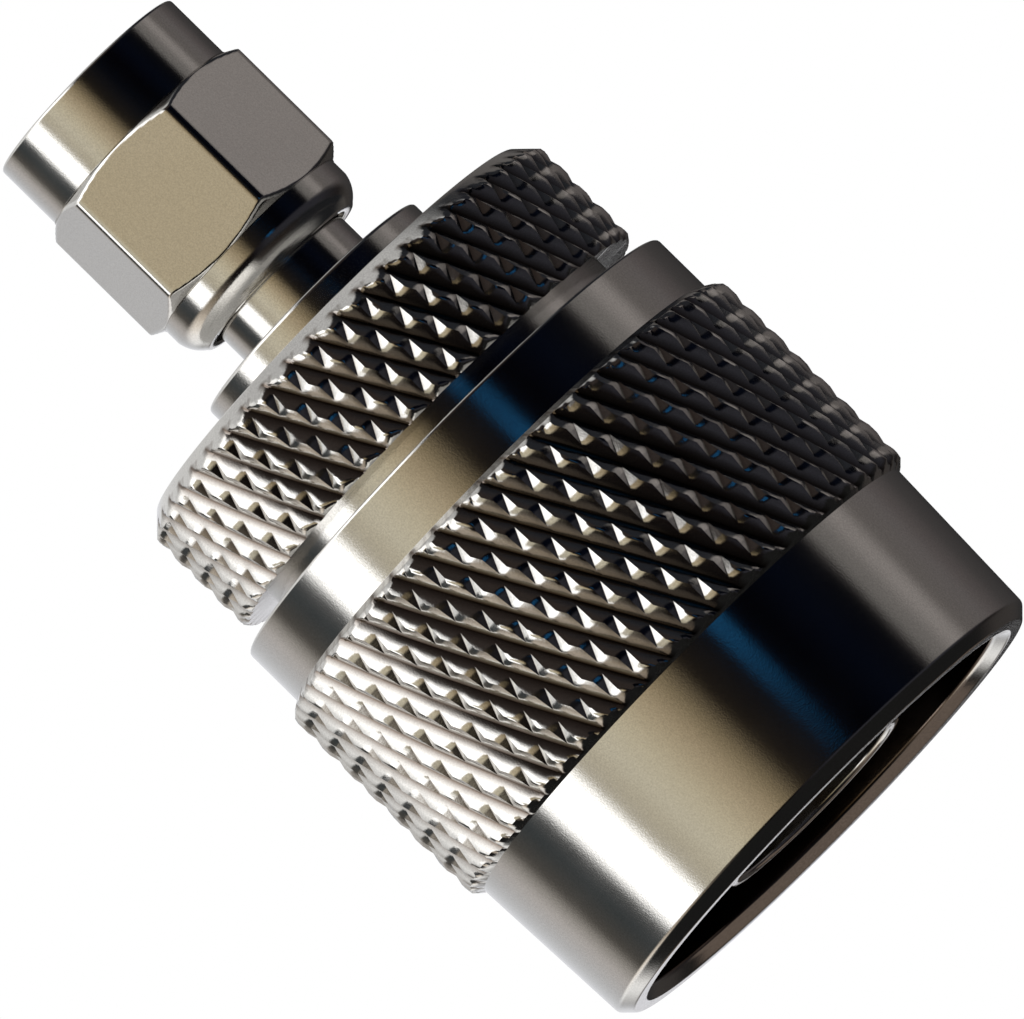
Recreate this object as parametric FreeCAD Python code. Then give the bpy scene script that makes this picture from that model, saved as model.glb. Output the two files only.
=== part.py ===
# Coaxial adapter: an N plug at the bottom, an SMA plug at the top, all on one axis.
# The adapter stands on the rim of its N coupling nut. Z runs up the axis from that rim. Sizes are in mm.
import FreeCAD, Part
import math
import os

# N coupling nut, inside: the small radius of its thread sets the other radii on this side
thread_root = 7.4
thread_length = 7.9
thread_lead_in = 0.6
mouth_step = 0.85
mouth_depth = 1.4
mouth_chamfer = 0.36
relief_step = 0.65
lip_thickness = 1.6
hub_clearance = 0.08

# N coupling nut, outside: a smooth front, a knurled band and a shoulder, from the rim upwards
shoulder_wall = 1.16
shoulder_length = 2.28
shoulder_drop = 0.16
knurl_depth = 0.38
knurl_length = 8.94
knurl_front_bevel = 0.31
knurl_rear_bevel = 0.24
front_length = 6.46
front_drop = 0.03
front_taper = 0.23
rim_chamfer = 0.42
edge_break = 0.1

# Diamond knurl of the nut: grooves in each hand, how many degrees each hand turns per mm, and how far
# its crossings are shifted from even spacing between the ends
nut_groove_count = 56
nut_angle_right = 2.655
nut_angle_left = 3.18
nut_start_angle = 2.26
nut_start_shift = -0.026
cutter_margin = 1.0

# Split ring that holds the N nut, and how far the nut floats on it
ring_thickness = 0.8
ring_width = 1.05
ring_groove_depth = 0.55
ring_side_clearance = 0.05
ring_opening_angle = 18.0
nut_float = 0.5
groove_headroom = 0.2

# Main body: hub and knurled grip ring
hub_step = 0.45
hub_chamfer = 0.4
grip_gap = 0.72
grip_length = 4.88
grip_step = 1.02
grip_depth = 0.36
grip_front_bevel = 0.18
grip_rear_bevel = 0.7
grip_groove_count = 50
grip_angle_right = 3.56
grip_angle_left = 3.66
grip_start_angle = 2.17
grip_start_shift = -0.428

# Contact sleeve of the N plug
sleeve_radius = 4.0
sleeve_wall = 0.5
sleeve_recess = 0.6
sleeve_reach = 9.4
sleeve_tip_bevel = 0.15
sleeve_seat_step = 0.3
sleeve_seat_length = 4.3
sleeve_flange_step = 0.3
sleeve_flange_length = 2.5

# Sealing rings
gasket_thickness = 1.2
gasket_gap = 0.5
gasket_slack = 0.05
small_gasket_thickness = 0.85
small_gasket_width = 0.58
small_gasket_step = 0.165

# N centre pin and its bead
pin_tip_radius = 0.82
pin_tip_recess = 2.7
pin_tip_length = 2.6
pin_radius = 1.52
pin_shank_radius = 1.1
bead_step = 0.3
bead_length = 4.0
socket_depth = 2.2
socket_radius = 0.45

# Rear body: collar, neck and the SMA plug's outer conductor, whose core sets the other radii
core_radius = 2.05
conductor_wall = 0.235
conductor_length = 2.9
land_step = 0.335
land_length = 2.9
neck_step = 0.23
neck_length = 1.77
collar_step = 0.28
collar_thickness = 1.15
rear_pin_radius = 0.635
rear_tip_radius = 0.455
rear_tip_length = 2.3
rear_point_length = 0.273
rear_point_radius = 0.2275

# SMA coupling nut: the wall over its groove brings the hexagon to 8 mm across flats
small_nut_wall = 0.76
hex_angle = 18.0
hex_length = 5.14
hex_chamfer_angle = 30.0
hex_margin = 0.1
tail_length = 1.52
tail_chamfer_length = 0.8
tail_chamfer_depth = 0.48
tail_round = 0.1
barrel_step = 0.03
barrel_length = 2.56
neck_cover = 0.32
neck_gap = 0.2
small_lip_thickness = 1.43
land_clearance = 0.08
small_ring_thickness = 0.4
small_ring_width = 0.7
small_ring_clearance = 0.04
small_ring_groove_depth = 0.37
small_headroom = 0.25
small_nut_float = 0.3
small_float_reserve = 0.03
small_guard_length = 0.54
small_relief_length = 1.6
small_thread_gap = 0.565
small_mouth_step = 0.35
small_mouth_depth = 0.4

# Stations along the axis, from the N nut's rim upwards
knurl_bottom = front_length
knurl_top = knurl_bottom + knurl_length
nut_top = knurl_top + shoulder_length
grip_bottom = nut_top + grip_gap
grip_top = grip_bottom + grip_length
collar_top = grip_top + collar_thickness
neck_top = collar_top + neck_length
land_top = neck_top + land_length
gasket_seat_top = land_top + small_gasket_thickness
conductor_top = land_top + conductor_length
small_nut_bottom = neck_top - neck_cover
hex_bottom = small_nut_bottom + tail_length
hex_top = hex_bottom + hex_length
small_nut_top = hex_top + barrel_length

# Stations inside the N side
sleeve_tip = sleeve_recess
body_face = sleeve_tip + sleeve_reach + gasket_thickness
sleeve_flange_bottom = body_face + sleeve_seat_length
sleeve_top = sleeve_flange_bottom + sleeve_flange_length
bead_bottom = sleeve_top - bead_length
pin_tip = sleeve_tip + pin_tip_recess
pin_shoulder = pin_tip + pin_tip_length
ring_top = nut_top - lip_thickness - ring_side_clearance
ring_bottom = ring_top - ring_thickness
thread_bottom = mouth_depth
thread_top = thread_bottom + thread_length

# Stations inside the SMA side
small_lip_bottom = neck_top + ring_side_clearance
small_groove_bottom = small_lip_bottom + small_lip_thickness
small_ring_bottom = small_groove_bottom + small_ring_clearance
small_ring_top = small_ring_bottom + small_ring_thickness
small_groove_top = small_ring_top + small_ring_clearance
small_relief_bottom = small_groove_top + small_guard_length
small_relief_top = small_relief_bottom + small_relief_length

# Radii of the N side, from the thread outwards
mouth_radius = thread_root + mouth_step
relief_radius = thread_root + relief_step
gasket_radius = thread_root - gasket_gap
hub_radius = thread_root + hub_step
lip_bore = hub_radius + hub_clearance
ring_seat = hub_radius - ring_groove_depth
ring_inner = ring_seat + ring_side_clearance
ring_outer = ring_inner + ring_width
nut_groove = ring_outer + groove_headroom
shoulder_radius = nut_groove + shoulder_wall
knurl_root = shoulder_radius + shoulder_drop
knurl_crest_radius = knurl_root + knurl_depth
front_radius = knurl_root - front_drop
rim_radius = front_radius - front_taper
grip_root = hub_radius + grip_step
grip_crest_radius = grip_root + grip_depth

# Radii of the contact sleeve and what it carries
sleeve_bore = sleeve_radius - sleeve_wall
sleeve_seat_radius = sleeve_radius + sleeve_seat_step
sleeve_flange_radius = sleeve_seat_radius + sleeve_flange_step
bead_radius = sleeve_bore + bead_step
collar_radius = sleeve_flange_radius + collar_step

# Radii of the SMA side, from the core outwards
conductor_radius = core_radius + conductor_wall
small_gasket_seat = conductor_radius + small_gasket_step
small_gasket_inner = small_gasket_seat + gasket_slack
small_gasket_outer = small_gasket_inner + small_gasket_width
land_radius = conductor_radius + land_step
neck_radius = land_radius + neck_step
small_lip_bore = land_radius + land_clearance
small_ring_seat = land_radius - small_ring_groove_depth
small_ring_inner = small_ring_seat + small_ring_clearance
small_ring_outer = small_ring_inner + small_ring_width
small_groove = small_ring_outer + small_headroom
small_thread_root = conductor_radius + small_thread_gap
small_mouth_radius = small_thread_root + small_mouth_step
tail_radius = small_groove + small_nut_wall
barrel_radius = tail_radius + barrel_step
hex_corner_radius = tail_radius / math.cos(math.radians(30))


def revolved(outline, angle=360.0):
    """A solid turned about the axis from a closed outline of (radius, height) points."""
    points = [FreeCAD.Vector(radius, 0, height) for radius, height in outline]
    face = Part.Face(Part.makePolygon(points + points[:1]))
    return face.revolve(FreeCAD.Vector(0, 0, 0), FreeCAD.Vector(0, 0, 1), angle)


def tube(outer, inner, bottom, top):
    """A plain ring between two radii and two heights."""
    return revolved([(inner, bottom), (outer, bottom), (outer, top), (inner, top)])


def diamond_cutter(groove_count, angle_right, angle_left, start_angle, start_shift, root, crest, bottom, top):
    """What two hands of V grooves take off a cylinder, from its diamonds out past the crest radius.

    The grooves of the two hands cross in rows. Four crossings are the corners of a diamond at the root
    radius, and its peak stands between them at the crest radius.
    """
    reach = crest + cutter_margin
    pitch = 360.0 / groove_count
    row_height = pitch / (angle_right + angle_left)
    step = row_height * angle_right
    rows = math.ceil((top - bottom) / row_height) + 1
    first_height = (bottom + top - rows * row_height) / 2 + start_shift

    def point(radius, index, row, share=0.0):
        angle = math.radians(start_angle + (index + share) * pitch + row * step)
        height = first_height + row * row_height
        return (radius * math.cos(angle), radius * math.sin(angle), height)

    facets = []
    for row in range(rows + 1):
        for index in range(groove_count):
            left = point(root, index, row)
            right = point(root, index + 1, row)
            peak = point(crest, index, row, 0.5)
            if row < rows:
                above = point(root, index, row + 1)
                facets += [(left, above, peak), (above, right, peak)]
            if row > 0:
                below = point(root, index + 1, row - 1)
                facets += [(right, below, peak), (below, left, peak)]

    def end_face(row):
        corners = []
        for index in range(groove_count):
            corners += [point(root, index, row), point(crest, index, row, 0.5)]
        star = Part.makePolygon([FreeCAD.Vector(*corner) for corner in corners[:1] + corners[::-1]])
        height = corners[0][2]
        circle = Part.Wire(Part.makeCircle(reach, FreeCAD.Vector(0, 0, height)))
        return Part.Face([circle, star])

    low_end = end_face(0)
    low_end.reverse()

    faces = [Part.Face(Part.makePolygon([FreeCAD.Vector(*corner) for corner in facet + facet[:1]]))
             for facet in facets]
    low = first_height
    high = first_height + rows * row_height
    wall = Part.makeCylinder(reach, high - low, FreeCAD.Vector(0, 0, low)).Faces[0]
    shell = Part.makeShell(faces + [low_end, end_face(rows), wall])
    shell.sewShape()
    return Part.Solid(shell)


def n_coupling_nut():
    """Knurled nut: smooth front, diamond band, shoulder, threaded mouth, relief, ring groove and lip."""
    outside = [
        (rim_radius - rim_chamfer, 0),
        (rim_radius, rim_chamfer),
        (front_radius, knurl_bottom),
        (knurl_crest_radius, knurl_bottom + knurl_front_bevel),
        (knurl_crest_radius, knurl_top - knurl_rear_bevel),
        (shoulder_radius, knurl_top),
        (shoulder_radius, nut_top - edge_break),
        (shoulder_radius - edge_break, nut_top),
    ]
    inside = [
        (lip_bore, nut_top),
        (lip_bore, ring_top + ring_side_clearance),
        (nut_groove, ring_top + ring_side_clearance),
        (nut_groove, ring_bottom - ring_side_clearance),
        (relief_radius, ring_bottom - ring_side_clearance),
        (relief_radius, thread_top),
        (thread_root, thread_top - thread_lead_in),
        (thread_root, thread_bottom + thread_lead_in),
        (mouth_radius, thread_bottom),
        (mouth_radius, mouth_chamfer),
        (mouth_radius + mouth_chamfer, 0),
    ]
    blank = revolved(outside + inside)
    cutter = diamond_cutter(nut_groove_count, nut_angle_right, nut_angle_left, nut_start_angle,
                            nut_start_shift, knurl_root, knurl_crest_radius, knurl_bottom, knurl_top)
    return blank.cut(cutter)


def main_body():
    """Body of the N side: hub with its ring groove, knurled grip ring and bore for the sleeve."""
    outline = [
        (sleeve_seat_radius, body_face),
        (hub_radius - hub_chamfer, body_face),
        (hub_radius, body_face + hub_chamfer),
        (hub_radius, ring_bottom - nut_float),
        (ring_seat, ring_bottom - nut_float),
        (ring_seat, ring_top),
        (hub_radius, ring_top),
        (hub_radius, grip_bottom),
        (grip_crest_radius - grip_front_bevel, grip_bottom),
        (grip_crest_radius, grip_bottom + grip_front_bevel),
        (grip_crest_radius, grip_top - grip_rear_bevel),
        (grip_crest_radius - grip_rear_bevel, grip_top),
        (sleeve_flange_radius, grip_top),
        (sleeve_flange_radius, sleeve_flange_bottom),
        (sleeve_seat_radius, sleeve_flange_bottom),
    ]
    blank = revolved(outline)
    cutter = diamond_cutter(grip_groove_count, grip_angle_right, grip_angle_left, grip_start_angle,
                            grip_start_shift, grip_root, grip_crest_radius, grip_bottom, grip_top)
    return blank.cut(cutter)


def n_outer_contact():
    """Contact sleeve with a bevelled tip, pressed through the body and held by its rear flange."""
    return revolved([
        (sleeve_bore + sleeve_tip_bevel, sleeve_tip),
        (sleeve_radius - sleeve_tip_bevel, sleeve_tip),
        (sleeve_radius, sleeve_tip + sleeve_tip_bevel),
        (sleeve_radius, sleeve_tip + sleeve_reach),
        (sleeve_seat_radius, sleeve_tip + sleeve_reach),
        (sleeve_seat_radius, sleeve_flange_bottom),
        (sleeve_flange_radius, sleeve_flange_bottom),
        (sleeve_flange_radius, sleeve_top),
        (bead_radius, sleeve_top),
        (bead_radius, bead_bottom),
        (sleeve_bore, bead_bottom),
        (sleeve_bore, sleeve_tip + sleeve_tip_bevel),
    ])


def n_gasket():
    """Sealing ring round the sleeve, against the body's face."""
    return tube(gasket_radius, sleeve_seat_radius + gasket_slack, body_face - gasket_thickness, body_face)


def split_ring(inner, outer, bottom, top):
    """A flat ring with a slit across it, so that it can be squeezed into its groove."""
    section = [(inner, bottom), (outer, bottom), (outer, top), (inner, top)]
    ring = revolved(section, 360.0 - ring_opening_angle)
    ring.rotate(FreeCAD.Vector(0, 0, 0), FreeCAD.Vector(0, 0, 1), ring_opening_angle / 2)
    return ring


def n_retaining_ring():
    return split_ring(ring_inner, ring_outer, ring_bottom, ring_top)


def n_insulator():
    """Bead between the sleeve's inner shoulder and the rear body."""
    return tube(bead_radius, pin_shank_radius, bead_bottom, sleeve_top)


def n_centre_pin():
    """Centre contact with a round nose, a shoulder on the bead and a socket for the rear pin."""
    nose = FreeCAD.Vector(pin_tip_radius * math.sin(math.pi / 4), 0,
                          pin_tip + pin_tip_radius * (1 - math.cos(math.pi / 4)))
    tip = FreeCAD.Vector(0, 0, pin_tip)
    nose_end = FreeCAD.Vector(pin_tip_radius, 0, pin_tip + pin_tip_radius)
    corners = [
        nose_end,
        FreeCAD.Vector(pin_tip_radius, 0, pin_shoulder),
        FreeCAD.Vector(pin_radius, 0, pin_shoulder),
        FreeCAD.Vector(pin_radius, 0, bead_bottom),
        FreeCAD.Vector(pin_shank_radius, 0, bead_bottom),
        FreeCAD.Vector(pin_shank_radius, 0, sleeve_top),
        FreeCAD.Vector(socket_radius, 0, sleeve_top),
        FreeCAD.Vector(socket_radius, 0, sleeve_top - socket_depth),
        FreeCAD.Vector(0, 0, sleeve_top - socket_depth),
        tip,
    ]
    edges = [Part.Arc(tip, nose, nose_end).toShape()]
    edges += [Part.makeLine(start, end) for start, end in zip(corners, corners[1:])]
    face = Part.Face(Part.Wire(edges))
    return face.revolve(FreeCAD.Vector(0, 0, 0), FreeCAD.Vector(0, 0, 1), 360.0)


def sma_body():
    """Rear body: shank in the main body, collar on the grip ring, neck, ring land and outer conductor."""
    return revolved([
        (core_radius, sleeve_top),
        (sleeve_flange_radius, sleeve_top),
        (sleeve_flange_radius, grip_top),
        (collar_radius, grip_top),
        (collar_radius, collar_top - edge_break),
        (collar_radius - edge_break, collar_top),
        (neck_radius, collar_top),
        (neck_radius, neck_top),
        (land_radius, neck_top),
        (land_radius, small_ring_bottom),
        (small_ring_seat, small_ring_bottom),
        (small_ring_seat, small_ring_top + small_nut_float + small_float_reserve),
        (land_radius, small_ring_top + small_nut_float + small_float_reserve),
        (land_radius, land_top),
        (small_gasket_seat, land_top),
        (small_gasket_seat, gasket_seat_top),
        (conductor_radius, gasket_seat_top),
        (conductor_radius, conductor_top),
        (core_radius, conductor_top),
    ])


def sma_insulator():
    """Core of the SMA side, flush with its outer conductor."""
    return tube(core_radius, rear_pin_radius, sleeve_top, conductor_top)


def sma_centre_pin():
    """Rear pin: tail in the front pin's socket, body in the core, thin contact tip."""
    tip_top = conductor_top + rear_tip_length
    return revolved([
        (0, sleeve_top - socket_depth),
        (socket_radius, sleeve_top - socket_depth),
        (socket_radius, sleeve_top),
        (rear_pin_radius, sleeve_top),
        (rear_pin_radius, conductor_top),
        (rear_tip_radius, conductor_top),
        (rear_tip_radius, tip_top - rear_point_length),
        (rear_point_radius, tip_top),
        (0, tip_top),
    ])


def sma_gasket():
    """Sealing ring round the outer conductor, on the land's end."""
    return tube(small_gasket_outer, small_gasket_inner, land_top, gasket_seat_top)


def sma_retaining_ring():
    return split_ring(small_ring_inner, small_ring_outer, small_ring_bottom, small_ring_top)


def sma_coupling_nut():
    """Hexagonal nut: bevelled tail, chamfered hexagon, barrel, lip, ring groove and threaded mouth."""
    slope = math.tan(math.radians(hex_chamfer_angle))
    corner_reach = hex_corner_radius + hex_margin
    low_chamfer = (corner_reach - tail_radius) * slope
    high_chamfer = (corner_reach - barrel_radius) * slope
    turned_hexagon = revolved([
        (0, hex_bottom),
        (tail_radius, hex_bottom),
        (corner_reach, hex_bottom + low_chamfer),
        (corner_reach, hex_top - high_chamfer),
        (barrel_radius, hex_top),
        (0, hex_top),
    ])
    corners = []
    for side in range(7):
        angle = math.radians(60 * side + 30 + hex_angle)
        x = hex_corner_radius * math.cos(angle)
        y = hex_corner_radius * math.sin(angle)
        corners.append(FreeCAD.Vector(x, y, hex_bottom))
    prism = Part.Face(Part.makePolygon(corners)).extrude(FreeCAD.Vector(0, 0, hex_length))
    tail = revolved([
        (0, small_nut_bottom),
        (tail_radius - tail_chamfer_depth - tail_round, small_nut_bottom),
        (tail_radius - tail_chamfer_depth, small_nut_bottom + tail_round),
        (tail_radius, small_nut_bottom + tail_round + tail_chamfer_length),
        (tail_radius, hex_bottom),
        (0, hex_bottom),
    ])
    barrel = revolved([
        (0, hex_top),
        (barrel_radius, hex_top),
        (barrel_radius, small_nut_top - edge_break),
        (barrel_radius - edge_break, small_nut_top),
        (0, small_nut_top),
    ])
    outside = turned_hexagon.common(prism).fuse([tail, barrel]).removeSplitter()
    bore = revolved([
        (0, small_nut_bottom),
        (neck_radius + neck_gap, small_nut_bottom),
        (neck_radius + neck_gap, small_lip_bottom),
        (small_lip_bore, small_lip_bottom),
        (small_lip_bore, small_groove_bottom),
        (small_groove, small_groove_bottom),
        (small_groove, small_groove_top),
        (small_lip_bore, small_groove_top),
        (small_lip_bore, small_relief_bottom),
        (small_groove, small_relief_bottom),
        (small_groove, small_relief_top),
        (small_thread_root, small_relief_top + small_groove - small_thread_root),
        (small_thread_root, small_nut_top - small_mouth_depth),
        (small_mouth_radius, small_nut_top - small_mouth_depth + small_mouth_radius - small_thread_root),
        (small_mouth_radius, small_nut_top),
        (0, small_nut_top),
    ])
    return outside.cut(bore)


makers = {
    "n_coupling_nut": n_coupling_nut,
    "main_body": main_body,
    "sma_body": sma_body,
    "sma_coupling_nut": sma_coupling_nut,
    "n_outer_contact": n_outer_contact,
    "n_centre_pin": n_centre_pin,
    "n_insulator": n_insulator,
    "n_gasket": n_gasket,
    "n_retaining_ring": n_retaining_ring,
    "sma_centre_pin": sma_centre_pin,
    "sma_insulator": sma_insulator,
    "sma_gasket": sma_gasket,
    "sma_retaining_ring": sma_retaining_ring,
}

os.makedirs("parts", exist_ok=True)
for node, make in makers.items():
    shape = make()
    print(node, "valid" if shape.isValid() else "NOT valid", len(shape.Solids), "solid",
          len(shape.Faces), "faces", round(shape.Volume, 3), "mm3")
    shape.exportStep("parts/" + node + ".step")
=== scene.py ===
# Coaxial adapter in nickel-plated brass, standing on its large knurled nut.
# The shapes follow the fixed frame; lengths are in millimetres until the mesh is made.
import bpy
import bmesh
import math
from mathutils import Matrix, Vector, noise


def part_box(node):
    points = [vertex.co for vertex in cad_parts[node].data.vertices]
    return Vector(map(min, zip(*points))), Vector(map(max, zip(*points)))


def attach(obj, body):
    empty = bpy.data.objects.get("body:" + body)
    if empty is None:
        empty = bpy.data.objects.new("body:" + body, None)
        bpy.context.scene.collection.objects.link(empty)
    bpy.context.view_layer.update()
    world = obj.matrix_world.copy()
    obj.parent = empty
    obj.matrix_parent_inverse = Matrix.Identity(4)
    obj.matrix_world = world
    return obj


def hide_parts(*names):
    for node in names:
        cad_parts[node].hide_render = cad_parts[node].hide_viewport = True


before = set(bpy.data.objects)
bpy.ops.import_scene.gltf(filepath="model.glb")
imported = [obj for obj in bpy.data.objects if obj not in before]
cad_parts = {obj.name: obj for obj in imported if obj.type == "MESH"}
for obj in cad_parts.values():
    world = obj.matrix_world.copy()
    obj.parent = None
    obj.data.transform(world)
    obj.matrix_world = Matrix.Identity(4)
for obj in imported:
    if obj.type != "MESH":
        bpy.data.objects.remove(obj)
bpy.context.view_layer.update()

mm = 0.001
axis = Vector((0, 0, 1))
origin = Vector((0, 0, 0))


def nodeTop(node):
    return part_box(node)[1].z / mm


def nodeBottom(node):
    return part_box(node)[0].z / mm


# colours and nodes
def colour(hexValue):
    parts = [int(hexValue[i:i + 2], 16) / 255 for i in (1, 3, 5)]
    return [p / 12.92 if p <= 0.04045 else ((p + 0.055) / 1.055) ** 2.4 for p in parts] + [1.0]


def addNode(tree, kind, settings={}, links={}):
    node = tree.nodes.new("ShaderNode" + kind)
    for name, value in settings.items():
        if isinstance(name, int) or name in node.inputs:
            node.inputs[name].default_value = value
        else:
            setattr(node, name, value)
    for name, source in links.items():
        tree.links.new(source, node.inputs[name])
    return node


def newMaterial(name):
    material = bpy.data.materials.new(name)
    material.use_nodes = True
    material.node_tree.nodes.clear()
    return material, material.node_tree


# nickel plate over turned brass: warm grey mirror with a fine satin grain and faint tool lines
nickelPlate = {
    "plate": "#cfcdc9",
    "tarnishAndShade": "#5d4f44",       # dark colour for the grooves and the bores: tarnish and painted shade in the knurl grooves, painted shade only in the bores
    "tarnishAndShadeFrom": 0.35,
    "tarnishAndShadeShare": 0.95,
    "roughness": 0.12,
    "grainSize": 0.06,      # coarser than real plating grain, so that it shows
    "grainDepth": 0.0019,
    "mottle": 0.2,
    "toolLine": 0.11,
    "toolDepth": 0.0005,
    "toolStretch": 0.02,
    "cloudSize": 2.5,
}


def makeNickel(name, look):
    material, tree = newMaterial(name)
    coords = addNode(tree, "TexCoord")
    place = coords.outputs["Object"]
    grainScale = 1 / (look["grainSize"] * mm)
    grain = addNode(tree, "TexNoise", {"Scale": grainScale, "Detail": 2.0, "Roughness": 0.6},
                    {"Vector": place})
    cloud = addNode(tree, "TexNoise", {"Scale": 1 / (look["cloudSize"] * mm), "Detail": 3.0},
                    {"Vector": place})
    stretch = addNode(tree, "Mapping", {"Scale": (look["toolStretch"], look["toolStretch"], 1.0)},
                      {"Vector": place})
    lines = addNode(tree, "TexNoise", {"Scale": 1 / (look["toolLine"] * mm), "Detail": 2.0},
                    {"Vector": stretch.outputs["Vector"]})
    # painted shade: this mask mixes in the dark colour, as tarnish and painted shade in the knurl grooves
    # and as painted shade only in the bores
    dirtAndShadeMask = addNode(tree, "Attribute", {"attribute_name": "dirtAndShadeMask"})
    dirtAndShade = addNode(tree, "MapRange", {"From Min": look["tarnishAndShadeFrom"], "To Max": look["tarnishAndShadeShare"]},
                   {"Value": dirtAndShadeMask.outputs["Fac"]})
    tint = addNode(tree, "Mix", {"data_type": "RGBA", 6: colour(look["plate"]), 7: colour(look["tarnishAndShade"])},
                   {"Factor": dirtAndShade.outputs["Result"]})
    rough = addNode(tree, "MapRange", {"From Min": 0.3, "From Max": 0.7, "To Min": look["roughness"] * 0.85,
                                       "To Max": look["roughness"] * 1.2}, {"Value": cloud.outputs["Fac"]})
    grainBump = addNode(tree, "Bump", {"Strength": 1.0, "Distance": look["grainDepth"] * mm},
                        {"Height": grain.outputs["Fac"]})
    lineBump = addNode(tree, "Bump", {"Strength": 1.0, "Distance": look["toolDepth"] * mm},
                       {"Height": lines.outputs["Fac"], "Normal": grainBump.outputs["Normal"]})
    speckle = addNode(tree, "MapRange", {"From Min": 0.3, "From Max": 0.7, "To Min": 1 - look["mottle"],
                                         "To Max": 1.0}, {"Value": grain.outputs["Fac"]})
    plated = addNode(tree, "Mix", {"data_type": "RGBA", "blend_type": "MULTIPLY", 0: 1.0},
                     {6: tint.outputs[2], 7: speckle.outputs["Result"]})
    shader = addNode(tree, "BsdfPrincipled", {"Metallic": 1.0},
                     {"Base Color": plated.outputs[2], "Roughness": rough.outputs["Result"],
                      "Normal": lineBump.outputs["Normal"]})
    addNode(tree, "OutputMaterial", {}, {"Surface": shader.outputs["BSDF"]})
    return material


def makePlain(name, hexValue, roughness, metallic=0.0, grainSize=0.1, grainDepth=0.002):
    material, tree = newMaterial(name)
    coords = addNode(tree, "TexCoord")
    grain = addNode(tree, "TexNoise", {"Scale": 1 / (grainSize * mm), "Detail": 3.0},
                    {"Vector": coords.outputs["Object"]})
    bump = addNode(tree, "Bump", {"Strength": 1.0, "Distance": grainDepth * mm},
                   {"Height": grain.outputs["Fac"]})
    rough = addNode(tree, "MapRange", {"To Min": roughness * 0.85, "To Max": roughness * 1.15},
                    {"Value": grain.outputs["Fac"]})
    shader = addNode(tree, "BsdfPrincipled", {"Base Color": colour(hexValue), "Metallic": metallic},
                     {"Normal": bump.outputs["Normal"], "Roughness": rough.outputs["Result"]})
    addNode(tree, "OutputMaterial", {}, {"Surface": shader.outputs["BSDF"]})
    return material


satinNickel = makeNickel("satinNickelPlate", nickelPlate)
goldPlate = makePlain("polishedGoldPlate", "#e8c069", 0.18, 1.0)
ptfe = makePlain("turnedPtfe", "#e6e6e0", 0.45)
silicone = makePlain("mouldedSilicone", "#1c1c1e", 0.55)
bronze = makePlain("springBronze", "#b98a55", 0.3, 1.0)
print("materials made")


# turned pieces: each outline point has its radius, its height and its share of the corner rounding
cornerSteps = 3
cornerReach = 0.45      # the most of a side that one corner's rounding takes
supportGap = 0.03
longStretch = 10 * supportGap


def roundCorners(points, size):
    rounded = []
    count = len(points)
    for i, (radius, height, share) in enumerate(points):
        here = Vector((radius, height))
        before = Vector(points[i - 1][:2])
        after = Vector(points[(i + 1) % count][:2])
        if not share:
            rounded.append((radius, height))
            continue
        reach = size * share
        start = here + (before - here).normalized() * min(reach, (before - here).length * cornerReach)
        end = here + (after - here).normalized() * min(reach, (after - here).length * cornerReach)
        for step in range(cornerSteps + 1):
            t = step / cornerSteps
            point = start * (1 - t) ** 2 + here * 2 * t * (1 - t) + end * t ** 2
            rounded.append((point.x, point.y))
    return keepFlat(rounded)


def keepFlat(outline):
    # a point close to each end of a long stretch keeps its shading straight up to the corner
    kept = []
    for i, point in enumerate(outline):
        here = Vector(point)
        step = Vector(outline[(i + 1) % len(outline)]) - here
        kept.append(point)
        if step.length > longStretch:
            kept.append(tuple(here + step * supportGap / step.length))
            kept.append(tuple(here + step * (1 - supportGap / step.length)))
    return kept


def spinOutline(outline, steps, startAngle=0.0):
    shape = bmesh.new()
    turn = Matrix.Rotation(startAngle, 3, "Z")
    corners = [shape.verts.new(turn @ Vector((radius * mm, 0, height * mm))) for radius, height in outline]
    edges = [shape.edges.new((corners[i], corners[(i + 1) % len(corners)])) for i in range(len(corners))]
    bmesh.ops.spin(shape, geom=corners + edges, cent=origin, axis=axis, dvec=origin, angle=2 * math.pi,
                   steps=steps, use_merge=True, use_normal_flip=False, use_duplicate=False)
    bmesh.ops.remove_doubles(shape, verts=shape.verts[:], dist=0.0005 * mm)
    bmesh.ops.recalc_face_normals(shape, faces=shape.faces[:])
    return shape


threadForm = {
    "stepsPerTurn": 96,
    "footDepth": 0.02,      # the ridge's foot lies this far inside the wall
    "footHalf": 0.44,       # half widths in pitches
    "crestHalf": 0.13,
}


def addThread(shape, d):
    # one ridge wound up the bore
    pitch = d["threadPitch"]
    turns = (d["threadTop"] - d["threadBottom"]) / pitch - 1
    steps = round(turns * threadForm["stepsPerTurn"])
    first = d["threadBottom"] + pitch / 2
    foot = d["threadValley"] + threadForm["footDepth"]
    footHalf = threadForm["footHalf"]
    crestHalf = threadForm["crestHalf"]
    ridge = [(foot, -footHalf), (d["threadRoot"], -crestHalf),
             (d["threadRoot"], crestHalf), (foot, footHalf)]
    thread = bmesh.new()
    corners = [thread.verts.new(Vector((radius, 0, first + share * pitch)) * mm) for radius, share in ridge]
    edges = [thread.edges.new((corners[i], corners[(i + 1) % len(corners)])) for i in range(len(corners))]
    wound = bmesh.ops.spin(thread, geom=corners + edges, cent=origin, axis=axis,
                           dvec=axis * turns * pitch * mm / steps, angle=2 * math.pi * turns, steps=steps,
                           use_merge=False, use_normal_flip=False, use_duplicate=False)
    lastEdges = [part for part in wound["geom_last"] if isinstance(part, bmesh.types.BMEdge)]
    bmesh.ops.contextual_create(thread, geom=edges)
    bmesh.ops.contextual_create(thread, geom=lastEdges)
    bmesh.ops.recalc_face_normals(thread, faces=thread.faces[:])
    mesh = bpy.data.meshes.new("thread")
    thread.to_mesh(mesh)
    thread.free()
    shape.from_mesh(mesh)
    bpy.data.meshes.remove(mesh)


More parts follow.
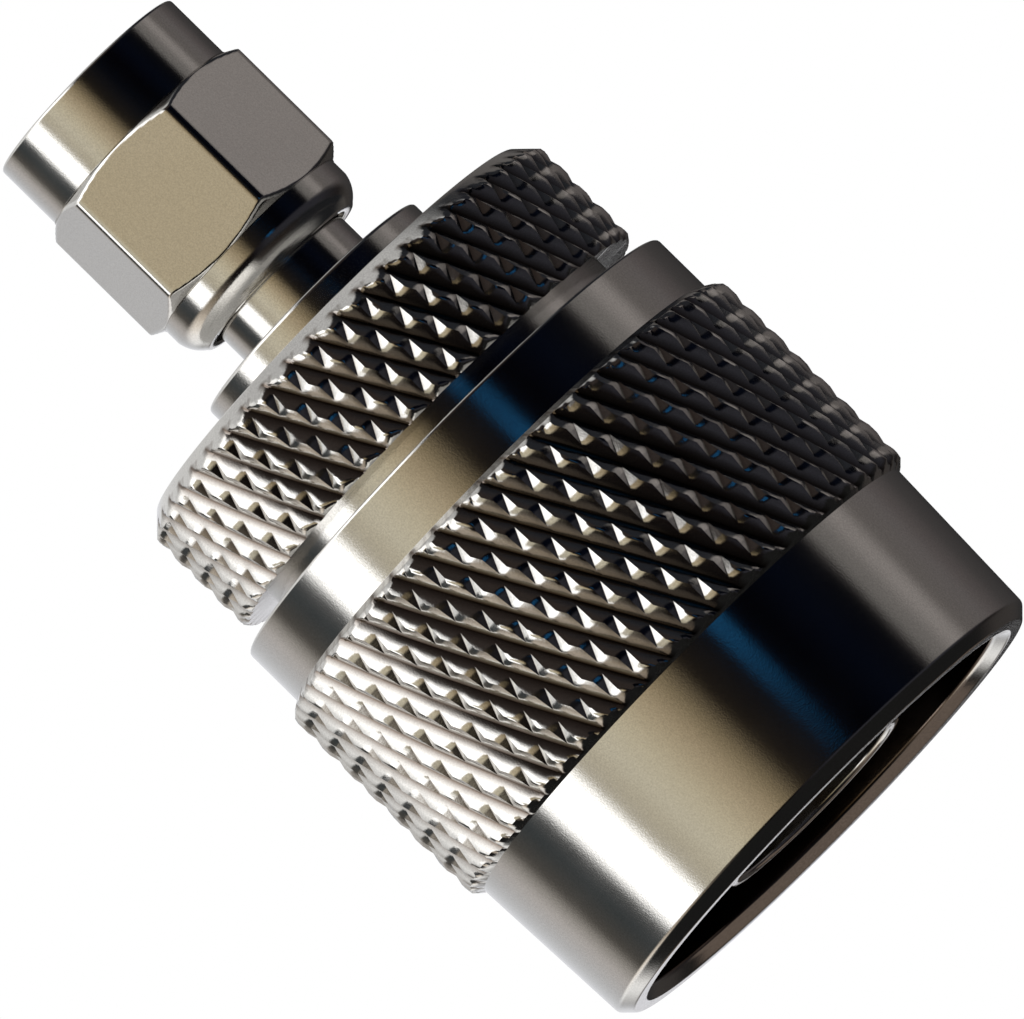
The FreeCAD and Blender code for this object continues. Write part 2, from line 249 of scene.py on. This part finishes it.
def finishPiece(shape, name, material, body, nodes, sharpAngle=40):
    mesh = bpy.data.meshes.new(name)
    for face in shape.faces:
        face.smooth = True
    shape.to_mesh(mesh)
    shape.free()
    mesh.set_sharp_from_angle(angle=math.radians(sharpAngle))
    mesh.materials.append(material)
    piece = bpy.data.objects.new(name, mesh)
    bpy.context.scene.collection.objects.link(piece)
    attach(piece, body)
    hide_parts(*nodes)
    mesh.calc_loop_triangles()
    print(name, len(mesh.loop_triangles), "triangles")
    return piece


# knurling: rising and falling are the slopes of the notches and the grooves in degrees per mm; start and
# shift move the pattern round and along, and the widths are shares of half a pitch
bandGap = 0.01          # from a knurled band to the plain outline beside it
bandSupport = 0.04
bandSlack = 0.05        # the band's rows start this far outside the crest and are carved back
endShare = 0.3          # the share of a row's height kept free at each end


def knurlParts(look, angle, height):
    pitch = 360 / look["grooves"]
    rise = height - look["firstRow"]
    rising = ((angle - look["start"] - look["rising"] * rise) / pitch) % 1
    falling = ((angle - look["start"] + look["falling"] * rise) / pitch) % 1
    notch = 2 * min(rising, 1 - rising)        # 0 in the groove, 1 midway
    groove = 2 * min(falling, 1 - falling)
    deep = min(1.0, groove / look["grooveWidth"])
    deep += look["crown"] * (math.sin(deep * math.pi / 2) - deep)
    cross = 1 - look["notchDepth"] + look["notchDepth"] * min(1.0, notch / look["notchWidth"])
    return deep, cross


def knurlBand(shape, look):
    dirtAndShadeMask = shape.verts.layers.float.new("dirtAndShadeMask")
    shear = (look["rising"] - look["falling"]) / 2
    for vert in shape.verts:
        radius = math.hypot(vert.co.x, vert.co.y) / mm
        height = vert.co.z / mm
        if radius < look["innerLimit"]:
            continue
        lift = min(max(height, look["bottom"]), look["top"]) - look["firstRow"]
        angle = math.degrees(math.atan2(vert.co.y, vert.co.x)) + shear * lift
        if look["bottom"] <= height <= look["top"]:
            top = min(knurlParts(look, angle, height))
            wobble = noise.noise(vert.co / mm * look["wobbleScale"]) * look["wobble"]
            carved = look["root"] + (look["crest"] - look["root"]) * top + wobble * top
            # the groove depth becomes the mask for the dark colour: tarnish in the grooves, together with
            # painted shade towards the groove bottoms
            if radius > look["root"] - look["tintDepth"]:
                vert[dirtAndShadeMask] = 1 - top
            radius = min(carved, radius, look["crest"])
        vert.co.x = radius * mm * math.cos(math.radians(angle))
        vert.co.y = radius * mm * math.sin(math.radians(angle))


def splitBand(shape, look):
    # each quad is cut along the groove or the notch that runs through it, so both keep straight edges
    first, second = [], []
    for face in shape.faces:
        spots = [v.co for v in face.verts]
        low = min(spot.z for spot in spots) / mm
        high = max(spot.z for spot in spots) / mm
        middle = face.calc_center_median()
        wide = math.hypot(middle.x, middle.y) / mm
        inBand = look["bottom"] - 0.001 <= low and high <= look["top"] + 0.001
        if len(spots) != 4 or wide < look["innerLimit"] or not inBand:
            continue
        angle = math.degrees(math.atan2(middle.y, middle.x))
        notched = knurlParts(look, angle, middle.z / mm)
        wanted = 1 if notched[1] < notched[0] else -1
        turn = spots[0].x * spots[2].y - spots[0].y * spots[2].x
        lean = 1 if turn * (spots[2].z - spots[0].z) > 0 else -1
        (first if lean == wanted else second).append(face)
    bmesh.ops.triangulate(shape, faces=first, quad_method="FIXED")
    bmesh.ops.triangulate(shape, faces=[face for face in second if face.is_valid], quad_method="ALTERNATE")


# large knurled nut
largeNut = {
    "rimChamfer": 0.42,
    "mouthChamfer": 0.36,
    "mouthRadius": 8.25,
    "mouthDepth": 1.4,
    "boreMargin": 0.01,
    "rimRadius": 9.66,
    "frontRadius": 9.89,
    "frontLength": 6.46,
    "knurlLength": 8.94,
    "frontBevel": 0.31,
    "frontFoot": 0.03,      # how far the band's bevels start below the groove bottoms
    "rearBevel": 0.24,
    "rearFoot": 0.16,
    "shoulderRadius": 9.76,
    "threadRoot": 7.4,
    "threadValley": 7.93,
    "threadPitch": 1.058,
    "threadBottom": 2.0,
    "threadTop": 8.7,
    "reliefBottom": 9.3,
    "reliefRadius": 8.05,
    "lipBore": 7.93,
    "lipThickness": 1.6,
    "grooveRadius": 8.6,
    "grooveHeight": 0.9,
    "cornerRound": 0.1,
}
largeKnurl = {
    "grooves": 56,
    "rising": 2.655,
    "falling": 3.18,
    "innerLimit": 9.0,
    "start": 2.95,
    "shift": 0.426,
    "root": 9.98,
    "crest": 10.3,
    "notchDepth": 0.56,
    "notchWidth": 0.667,
    "grooveWidth": 1.0,
    "crown": 0.45,
    "wobble": 0.02,
    "wobbleScale": 0.9,
    "tintDepth": 0.2,
    "cells": 6,
}


def bandHeights(look):
    pitch = 360 / look["grooves"]
    rowHeight = pitch / (look["rising"] + look["falling"])
    rows = math.ceil((look["top"] - look["bottom"]) / rowHeight) + 1
    look["firstRow"] = (look["bottom"] + look["top"] - rows * rowHeight) / 2 + look["shift"]
    step = rowHeight / look["cells"]
    heights = [look["firstRow"] + i * step for i in range(rows * look["cells"] + 1)]
    return [h for h in heights if look["bottom"] + step * endShare < h < look["top"] - step * endShare]


def makeLargeNut(d, knurl):
    top = nodeTop("n_coupling_nut")
    knurl["bottom"] = d["frontLength"]
    knurl["top"] = d["frontLength"] + d["knurlLength"]
    ringTop = top - d["lipThickness"]
    outside = [
        (d["rimRadius"] - d["rimChamfer"], 0, 0.5),
        (d["rimRadius"], d["rimChamfer"], 1),
        (d["frontRadius"] - 0.001, knurl["bottom"] - bandSupport, 0),
        (d["frontRadius"], knurl["bottom"] - bandGap, 0),
    ]
    depth = knurl["crest"] - knurl["root"]
    for height in bandHeights(knurl):
        low = knurl["root"] - d["frontFoot"] + (height - knurl["bottom"]) * depth / d["frontBevel"]
        high = knurl["root"] - d["rearFoot"] + (knurl["top"] - height) * depth / d["rearBevel"]
        outside.append((min(knurl["crest"] + bandSlack, low, high), height, 0))
    outside += [
        (d["shoulderRadius"], knurl["top"] + bandGap, 0),
        (d["shoulderRadius"], knurl["top"] + bandSupport, 0),
        (d["shoulderRadius"], top, 1),
        (d["lipBore"], top, 1),
        (d["lipBore"], ringTop, 0.5),
        (d["grooveRadius"], ringTop, 0),
        (d["grooveRadius"], ringTop - d["grooveHeight"], 0),
        (d["reliefRadius"], ringTop - d["grooveHeight"], 0),
        (d["reliefRadius"], d["reliefBottom"], 0),
        (d["threadValley"], d["reliefBottom"], 0),
        (d["threadValley"], d["mouthDepth"], 0),
        (d["mouthRadius"], d["mouthDepth"], 0),
        (d["mouthRadius"], d["mouthChamfer"], 1),
        (d["mouthRadius"] + d["mouthChamfer"], 0, 0.5),
    ]
    steps = knurl["grooves"] * 2 * knurl["cells"]
    shape = spinOutline(roundCorners(outside, d["cornerRound"]), steps, math.radians(knurl["start"]))
    addThread(shape, d)
    knurlBand(shape, knurl)
    splitBand(shape, knurl)
    dirtAndShadeMask = shape.verts.layers.float["dirtAndShadeMask"]
    for vert in shape.verts:        # painted shade: the whole bore takes the full dark colour, standing in for the shade inside the mouth
        radius = math.hypot(vert.co.x, vert.co.y) / mm
        if radius < d["mouthRadius"] + d["boreMargin"] and vert.co.z / mm > d["mouthChamfer"]:
            vert[dirtAndShadeMask] = 1.0
    return finishPiece(shape, "knurled_nut", satinNickel, "n_nut", ["n_coupling_nut"])


makeLargeNut(largeNut, largeKnurl)

# body with the knurled grip ring
gripBody = {
    "hubRadius": 7.85,
    "hubChamfer": 0.4,
    "ringSeat": 7.3,
    "ringBottom": 14.71,
    "ringTop": 16.03,
    "frontBevel": 0.18,
    "rearBevel": 0.7,
    "seatRadius": 4.3,
    "flangeRadius": 4.6,
    "flangeBottom": 15.5,
    "gripLength": 4.88,
    "cornerRound": 0.1,
}
gripKnurl = {
    "grooves": 50,
    "rising": 3.56,
    "falling": 3.66,
    "innerLimit": 8.2,
    "start": 3.24,
    "shift": -0.228,
    "root": 8.92,
    "crest": 9.23,
    "notchDepth": 0.64,
    "notchWidth": 0.667,
    "grooveWidth": 1.0,
    "crown": 0.45,
    "wobble": 0.02,
    "wobbleScale": 0.9,
    "tintDepth": 0.2,
    "cells": 6,
}


def makeGripBody(d, knurl):
    top = nodeTop("main_body")
    bottom = nodeBottom("main_body")
    knurl["bottom"] = top - d["gripLength"]
    knurl["top"] = top
    outside = [
        (d["seatRadius"], bottom, 0),
        (d["hubRadius"] - d["hubChamfer"], bottom, 1),
        (d["hubRadius"], bottom + d["hubChamfer"], 1),
        (d["hubRadius"], d["ringBottom"], 0),
        (d["ringSeat"], d["ringBottom"], 0),
        (d["ringSeat"], d["ringTop"], 0),
        (d["hubRadius"], d["ringTop"], 0),
        (d["hubRadius"], knurl["bottom"], 0),
        (knurl["crest"] - d["frontBevel"], knurl["bottom"], 0),
    ]
    for height in bandHeights(knurl):
        low = knurl["crest"] - d["frontBevel"] + height - knurl["bottom"]
        high = knurl["crest"] - d["rearBevel"] + knurl["top"] - height
        outside.append((min(knurl["crest"] + bandSlack, low, high), height, 0))
    outside += [
        (knurl["crest"] - d["rearBevel"], knurl["top"], 0.5),
        (d["flangeRadius"], knurl["top"], 0),
        (d["flangeRadius"], d["flangeBottom"], 0),
        (d["seatRadius"], d["flangeBottom"], 0),
    ]
    steps = knurl["grooves"] * 2 * knurl["cells"]
    shape = spinOutline(roundCorners(outside, d["cornerRound"]), steps, math.radians(knurl["start"]))
    knurlBand(shape, knurl)
    splitBand(shape, knurl)
    return finishPiece(shape, "grip_body", satinNickel, "adapter", ["main_body"])


makeGripBody(gripBody, gripKnurl)

# rear body: collar, neck, ring land and outer conductor
rearBody = {
    "coreRadius": 2.05,
    "flangeRadius": 4.6,
    "gripTop": 23.28,
    "collarRadius": 4.88,
    "collarTop": 24.43,
    "neckRadius": 2.85,
    "neckTop": 26.2,
    "landRadius": 2.62,
    "ringSeat": 2.25,
    "ringBottom": 27.72,
    "ringTop": 28.45,
    "landTop": 29.1,
    "gasketSeat": 2.45,
    "gasketTop": 29.95,
    "conductor": 2.285,
    "cornerRound": 0.12,
    "steps": 256,
}


def makeRearBody(d):
    bottom = nodeBottom("sma_body")
    top = nodeTop("sma_body")
    outline = [
        (d["coreRadius"], bottom, 0),
        (d["flangeRadius"], bottom, 0),
        (d["flangeRadius"], d["gripTop"], 0),
        (d["collarRadius"], d["gripTop"], 0),
        (d["collarRadius"], d["collarTop"], 1),
        (d["neckRadius"], d["collarTop"], 0.6),
        (d["neckRadius"], d["neckTop"], 1),
        (d["landRadius"], d["neckTop"], 0),
        (d["landRadius"], d["ringBottom"], 0),
        (d["ringSeat"], d["ringBottom"], 0),
        (d["ringSeat"], d["ringTop"], 0),
        (d["landRadius"], d["ringTop"], 0),
        (d["landRadius"], d["landTop"], 1),
        (d["gasketSeat"], d["landTop"], 0),
        (d["gasketSeat"], d["gasketTop"], 0.5),
        (d["conductor"], d["gasketTop"], 0),
        (d["conductor"], top, 0.5),
        (d["coreRadius"], top, 0.3),
    ]
    shape = spinOutline(roundCorners(outline, d["cornerRound"]), d["steps"])
    return finishPiece(shape, "rear_body", satinNickel, "adapter", ["sma_body"])


makeRearBody(rearBody)

# small hexagonal nut
hexNut = {
    "hexBottom": 27.4,
    "hexTop": 32.54,
    "flats": 8.0,
    "turn": 18.0,
    "outerMargin": 0.2,     # only points this far outside the flats are moved to the hexagon
    "rowGap": 0.02,
    "rowMargin": 0.03,
    "leastLean": 0.3,       # flats that face further away than this cosine are left out
    "tailSlope": 30.0,
    "rimSlope": 30.0,
    "tailChamferDepth": 0.48,
    "tailChamferLength": 0.8,
    "tailRound": 0.1,
    "tailBulge": 0.09,
    "tailGap": 0.06,
    "barrelRadius": 4.03,
    "bore": 3.05,
    "lipBottom": 26.25,
    "lipBore": 2.7,
    "threadRoot": 2.85,
    "threadValley": 3.15,
    "threadPitch": 0.7056,
    "threadBottom": 30.69,
    "threadTop": 34.7,
    "mouthRadius": 3.2,
    "mouthDepth": 0.4,
    "mouthSlope": 0.05,
    "reliefBottom": 28.7,
    "steps": 480,
    "hexRows": 64,
    "tailRows": 8,
    "cornerRound": 0.1,
    "edgeRound": 0.22,
    "chamferRound": 0.08,
}


def softMin(values, size):
    # the smaller of two crossing slopes, with the crossing itself rounded off
    low, second = sorted(values)[:2]
    near = max(size - (second - low), 0.0)
    return low - near * near / (4 * size)


def makeHexNut(d):
    bottom = nodeBottom("sma_coupling_nut")
    top = nodeTop("sma_coupling_nut")
    half = d["flats"] / 2
    corner = half / math.cos(math.radians(30))
    tailSlope = math.tan(math.radians(d["tailSlope"]))
    rimSlope = math.tan(math.radians(d["rimSlope"]))
    outline = [
        (half - d["tailChamferDepth"] - d["tailRound"], bottom, 0.4),
    ]
    start = Vector((half - d["tailChamferDepth"], bottom + d["tailRound"]))
    end = start + Vector((d["tailChamferDepth"], d["tailChamferLength"]))
    outwards = Vector((end.y - start.y, start.x - end.x)).normalized()
    crown = (start + end) / 2 + outwards * 2 * d["tailBulge"]
    for row in range(d["tailRows"] + 1):
        t = row / d["tailRows"]
        point = start * (1 - t) ** 2 + crown * 2 * t * (1 - t) + end * t ** 2
        outline.append((point.x, point.y, 0))
    outline += [
        (half, end.y + d["tailGap"], 0),
        (half, d["hexBottom"] - d["rowGap"], 0),
    ]
    for row in range(d["hexRows"] + 1):
        height = d["hexBottom"] + (d["hexTop"] - d["hexBottom"]) * row / d["hexRows"]
        outline.append((corner, height, 0))
    outline += [
        (d["barrelRadius"], d["hexTop"] + d["rowGap"], 0),
        (d["barrelRadius"], top, 1),
        (d["mouthRadius"], top, 1),
        (d["mouthRadius"], top - d["mouthDepth"], 0),
        (d["threadValley"], top - d["mouthDepth"] - d["mouthSlope"], 0),
        (d["threadValley"], d["reliefBottom"], 0),
        (d["lipBore"], d["reliefBottom"], 0),
        (d["lipBore"], d["lipBottom"], 0),
        (d["bore"], d["lipBottom"], 0),
        (d["bore"], bottom, 0.5),
    ]
    shape = spinOutline(roundCorners(outline, d["cornerRound"]), d["steps"], math.radians(d["turn"]))
    addThread(shape, d)
    for vert in shape.verts:
        radius = math.hypot(vert.co.x, vert.co.y) / mm
        height = vert.co.z / mm
        inHexagon = d["hexBottom"] - d["rowMargin"] <= height <= d["hexTop"] + d["rowMargin"]
        if radius < half + d["outerMargin"] or not inHexagon:
            continue
        angle = math.degrees(math.atan2(vert.co.y, vert.co.x)) - d["turn"]
        leans = [math.cos(math.radians(angle - 60 * side)) for side in range(6)]
        flats = softMin([half / lean for lean in leans if lean > d["leastLean"]], d["edgeRound"])
        tailChamfer = half + (height - d["hexBottom"]) / tailSlope
        rimChamfer = d["barrelRadius"] + (d["hexTop"] - height) / rimSlope
        radius = softMin([flats, tailChamfer, rimChamfer], d["chamferRound"])
        flat = math.hypot(vert.co.x, vert.co.y)
        vert.co.x *= radius * mm / flat
        vert.co.y *= radius * mm / flat
    return finishPiece(shape, "hex_nut", satinNickel, "sma_nut", ["sma_coupling_nut"], 60)


makeHexNut(hexNut)

# contact sleeve
contactSleeve = {
    "radius": 4.0,
    "bore": 3.5,
    "reach": 9.4,
    "tipBevel": 0.15,
    "seatRadius": 4.3,
    "flangeRadius": 4.6,
    "flangeBottom": 15.5,
    "beadRadius": 3.8,
    "beadBottom": 14.0,
    "steps": 256,
}


def makeContactSleeve(d):
    bottom = nodeBottom("n_outer_contact")
    top = nodeTop("n_outer_contact")
    outline = [
        (d["bore"], bottom, 1),
        (d["radius"], bottom, 1),
        (d["radius"], bottom + d["reach"], 0),
        (d["seatRadius"], bottom + d["reach"], 0),
        (d["seatRadius"], d["flangeBottom"], 0),
        (d["flangeRadius"], d["flangeBottom"], 0),
        (d["flangeRadius"], top, 0),
        (d["beadRadius"], top, 0),
        (d["beadRadius"], d["beadBottom"], 0),
        (d["bore"], d["beadBottom"], 0),
    ]
    shape = spinOutline(roundCorners(outline, d["tipBevel"]), d["steps"])
    return finishPiece(shape, "contact_sleeve", satinNickel, "adapter", ["n_outer_contact"])


makeContactSleeve(contactSleeve)

# the pieces that stay as the frame has them get their real finish
finishes = {
    "n_centre_pin": goldPlate,
    "sma_centre_pin": goldPlate,
    "n_insulator": ptfe,
    "sma_insulator": ptfe,
    "n_gasket": silicone,
    "sma_gasket": silicone,
    "n_retaining_ring": bronze,
    "sma_retaining_ring": bronze,
}
for node, material in finishes.items():
    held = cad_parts[node]
    held.data.materials.clear()
    held.data.materials.append(material)
print("pieces made")

# camera, far away and rolled so that the axis lies across the frame
camera = {
    "distance": 1.5,
    "elevation": -5.5,
    "roll": 45.5,
    "scale": 29.8,          # pixels of a 1024 pixel frame for each mm at the axis
    "frameWidth": 1024,
    "aimX": -0.13,
    "aimZ": 14.83,
    "sensor": 36.0,
}


def makeCamera(d):
    lens = bpy.data.cameras.new("camera")
    holder = bpy.data.objects.new("camera", lens)
    bpy.context.scene.collection.objects.link(holder)
    bpy.context.scene.camera = holder
    field = d["frameWidth"] / d["scale"] * mm
    lens.sensor_width = d["sensor"]
    lens.lens = d["sensor"] * d["distance"] / field
    lens.clip_start = 0.01
    lens.clip_end = 10
    tilt = math.radians(d["elevation"])
    back = Vector((0, -math.cos(tilt), math.sin(tilt)))
    aim = Vector((d["aimX"] * mm, 0, d["aimZ"] * mm))
    turn = (-back).to_track_quat("-Z", "Y").to_matrix().to_4x4()
    roll = Matrix.Rotation(-math.radians(d["roll"]), 4, "Z")
    holder.matrix_world = Matrix.Translation(aim + back * d["distance"]) @ turn @ roll


makeCamera(camera)

# studio: three rings of panels round the part, at three heights. Each stop has its azimuth from the
# camera, to the camera's left above zero, its colour and its strength.
level = [
    (-180, "#272727", 1.0),
    (-144, "#4b4848", 1.0),
    (-128, "#655f5f", 1.0),
    (-120, "#716c6c", 1.0),
    (-104, "#736e6c", 1.0),
    (-98, "#a09a98", 1.0),
    (-93, "#a09a98", 1.0),
    (-87, "#84807e", 1.0),
    (-79, "#7c7977", 1.0),
    (-75, "#0a0a0d", 1.0),
    (-56, "#070c18", 1.0),
    (-38, "#030307", 1.0),
    (-24, "#080b12", 1.0),
    (-14, "#17171a", 1.0),
    (-1, "#231e18", 1.0),
    (9, "#9a8a6d", 1.0),
    (16, "#bfad8e", 1.0),
    (24, "#d4c5a6", 1.0),
    (32, "#e3d8bc", 1.0),
    (42, "#e7dfc8", 1.0),
    (50, "#d6cdb6", 1.0),
    (58, "#cec7b5", 1.0),
    (62, "#ffffff", 2.4),
    (80, "#ffffff", 2.4),
    (85, "#595959", 1.0),
    (96, "#3f4548", 1.0),
    (112, "#595550", 1.0),
    (119, "#ada8a2", 1.0),
    (128, "#d3cecb", 1.0),
    (144, "#d6d6d8", 1.0),
    (160, "#e1e3e7", 1.0),
    (180, "#f1f1f6", 1.0),
]
above = [
    (-180, "#8a8684", 0.6),
    (-150, "#8a8684", 0.6),
    (-140, "#2c2e33", 1.0),
    (-70, "#2c2e33", 1.0),
    (-40, "#3a3330", 1.0),
    (6, "#3a3330", 1.0),
    (22, "#ffffff", 2.4),
    (58, "#ffffff", 2.4),
    (74, "#ffffff", 1.8),
    (90, "#ffffff", 1.2),
    (120, "#ffffff", 0.9),
    (180, "#ffffff", 0.9),
]
below = [
    (-180, "#4a4644", 0.8),
    (-150, "#4a4644", 0.8),
    (-130, "#2c2828", 0.8),
    (-90, "#34343a", 1.0),
    (-20, "#34343a", 1.0),
    (5, "#141010", 1.0),
    (36, "#141010", 1.0),
    (54, "#685f55", 1.0),
    (70, "#a49683", 1.0),
    (86, "#c6b9a9", 1.0),
    (101, "#ddd2c4", 1.3),
    (116, "#e8e0d6", 1.5),
    (131, "#f4f1ee", 1.5),
    (152, "#f4f4f4", 1.3),
    (166, "#77736f", 1.0),
    (180, "#77736f", 1.0),
]
studio = {
    "strongest": 2.4,
    "aboveFrom": 0.2,       # these heights are sines of the angle over the horizon
    "aboveFull": 0.36,
    "belowFrom": -0.08,
    "belowFull": -0.3,
    "topFrom": 0.75,
    "topFull": 0.95,
    "topLevel": 0.7,
    "bottomFrom": -0.43,
    "bottomFull": -0.6,
    "bottomLevel": 0.015,
}


def panelRamp(tree, share, panels, strongest):
    ramp = addNode(tree, "ValToRGB", {}, {"Fac": share})
    stops = ramp.color_ramp.elements
    points = []
    for angle, shade, strength in panels:
        points.append(((angle + 180) / 360, [c * strength / strongest for c in colour(shade)[:3]] + [1.0]))
    while len(stops) > 1:
        stops.remove(stops[-1])
    stops[0].position, stops[0].color = points[0]
    for position, shade in points[1:]:
        stops.new(position).color = shade
    return ramp.outputs["Color"]


def mixByHeight(tree, height, low, full, first, second):
    part = addNode(tree, "MapRange", {"interpolation_type": "SMOOTHSTEP", "From Min": low, "From Max": full},
                   {"Value": height})
    mix = addNode(tree, "Mix", {"data_type": "RGBA"}, {"Factor": part.outputs["Result"]})
    for slot, source in ((6, first), (7, second)):
        if isinstance(source, float):
            mix.inputs[slot].default_value = [source] * 3 + [1.0]
        else:
            tree.links.new(source, mix.inputs[slot])
    return mix.outputs[2]


def makeWorld(d):
    world = bpy.data.worlds.new("studio")
    bpy.context.scene.world = world
    world.use_nodes = True
    tree = world.node_tree
    tree.nodes.clear()
    strongest = d["strongest"]
    coords = addNode(tree, "TexCoord")
    split = addNode(tree, "SeparateXYZ", {}, {"Vector": coords.outputs["Generated"]})
    left = addNode(tree, "Math", {"operation": "MULTIPLY", 1: -1.0}, {0: split.outputs["X"]})
    near = addNode(tree, "Math", {"operation": "MULTIPLY", 1: -1.0}, {0: split.outputs["Y"]})
    turn = addNode(tree, "Math", {"operation": "ARCTAN2"}, {0: left.outputs[0], 1: near.outputs[0]})
    share = addNode(tree, "MapRange", {"From Min": -math.pi, "From Max": math.pi},
                    {"Value": turn.outputs[0]})
    rings = [panelRamp(tree, share.outputs["Result"], panels, strongest) for panels in (level, above, below)]
    height = split.outputs["Z"]
    light = mixByHeight(tree, height, d["aboveFrom"], d["aboveFull"], rings[0], rings[1])
    light = mixByHeight(tree, height, d["belowFrom"], d["belowFull"], light, rings[2])
    light = mixByHeight(tree, height, d["topFrom"], d["topFull"], light, d["topLevel"] / strongest)
    light = mixByHeight(tree, height, d["bottomFrom"], d["bottomFull"], light, d["bottomLevel"] / strongest)
    seen = addNode(tree, "Background", {"Strength": strongest}, {"Color": light})
    plain = addNode(tree, "Background", {"Color": [1.0, 1.0, 1.0, 1.0], "Strength": 1.0})
    path = addNode(tree, "LightPath")
    choose = addNode(tree, "MixShader", {}, {0: path.outputs["Is Camera Ray"], 1: seen.outputs[0],
                                             2: plain.outputs[0]})
    addNode(tree, "OutputWorld", {}, {"Surface": choose.outputs[0]})


makeWorld(studio)

# pale paper, clear from below, where the camera looks through it
paper = {
    "half": 600,
    "drop": 0.05,
    "shade": "#f2f2f0",
}


def makeFloor(d):
    shape = bmesh.new()
    bmesh.ops.create_grid(shape, x_segments=1, y_segments=1, size=d["half"] * mm)
    bmesh.ops.translate(shape, verts=shape.verts[:], vec=(0, 0, -d["drop"] * mm))
    mesh = bpy.data.meshes.new("floor")
    shape.to_mesh(mesh)
    shape.free()
    floor = bpy.data.objects.new("floor", mesh)
    bpy.context.scene.collection.objects.link(floor)
    material, tree = newMaterial("palePaper")
    facing = addNode(tree, "NewGeometry")
    matt = addNode(tree, "BsdfDiffuse", {"Color": colour(d["shade"])})
    clear = addNode(tree, "BsdfTransparent")
    mix = addNode(tree, "MixShader", {}, {0: facing.outputs["Backfacing"], 1: matt.outputs[0],
                                          2: clear.outputs[0]})
    addNode(tree, "OutputMaterial", {}, {"Surface": mix.outputs[0]})
    mesh.materials.append(material)
    floor.visible_diffuse = False
    floor.visible_glossy = False
    floor.visible_shadow = False


makeFloor(paper)

# cards that only the metal reflects: a blue one beside the camera for the large nut's blue streak, and
# a grey one under the far rim for the bevel of the mouth
cards = {
    "blue": {"shade": "#1b4f78", "width": 14, "length": 23, "place": (0, -100, 16.5), "tilt": 90,
             "azimuth": -22},
    "grey": {"shade": "#75685f", "width": 26, "length": 10, "place": (0, 7, -8), "tilt": 0,
             "azimuth": 0},
}


def makeCard(name, d):
    shape = bmesh.new()
    bmesh.ops.create_grid(shape, x_segments=1, y_segments=1, size=0.5)
    size = Matrix.Diagonal((d["width"] * mm, d["length"] * mm, 1, 1))
    tilt = Matrix.Rotation(math.radians(d["tilt"]), 4, "X")
    place = Matrix.Translation(Vector(d["place"]) * mm)
    turn = Matrix.Rotation(-math.radians(d["azimuth"]), 4, "Z")
    bmesh.ops.transform(shape, matrix=turn @ place @ tilt @ size, verts=shape.verts[:])
    mesh = bpy.data.meshes.new(name + "_card")
    shape.to_mesh(mesh)
    shape.free()
    card = bpy.data.objects.new(name + "_card", mesh)
    bpy.context.scene.collection.objects.link(card)
    material, tree = newMaterial(name + "Card")
    glow = addNode(tree, "Emission", {"Color": colour(d["shade"]), "Strength": 1.0})
    addNode(tree, "OutputMaterial", {}, {"Surface": glow.outputs[0]})
    mesh.materials.append(material)
    card.visible_camera = False
    card.visible_diffuse = False
    card.visible_shadow = False


for name, card in cards.items():
    makeCard(name, card)
bpy.context.scene.view_settings.view_transform = "Standard"
print("studio made")
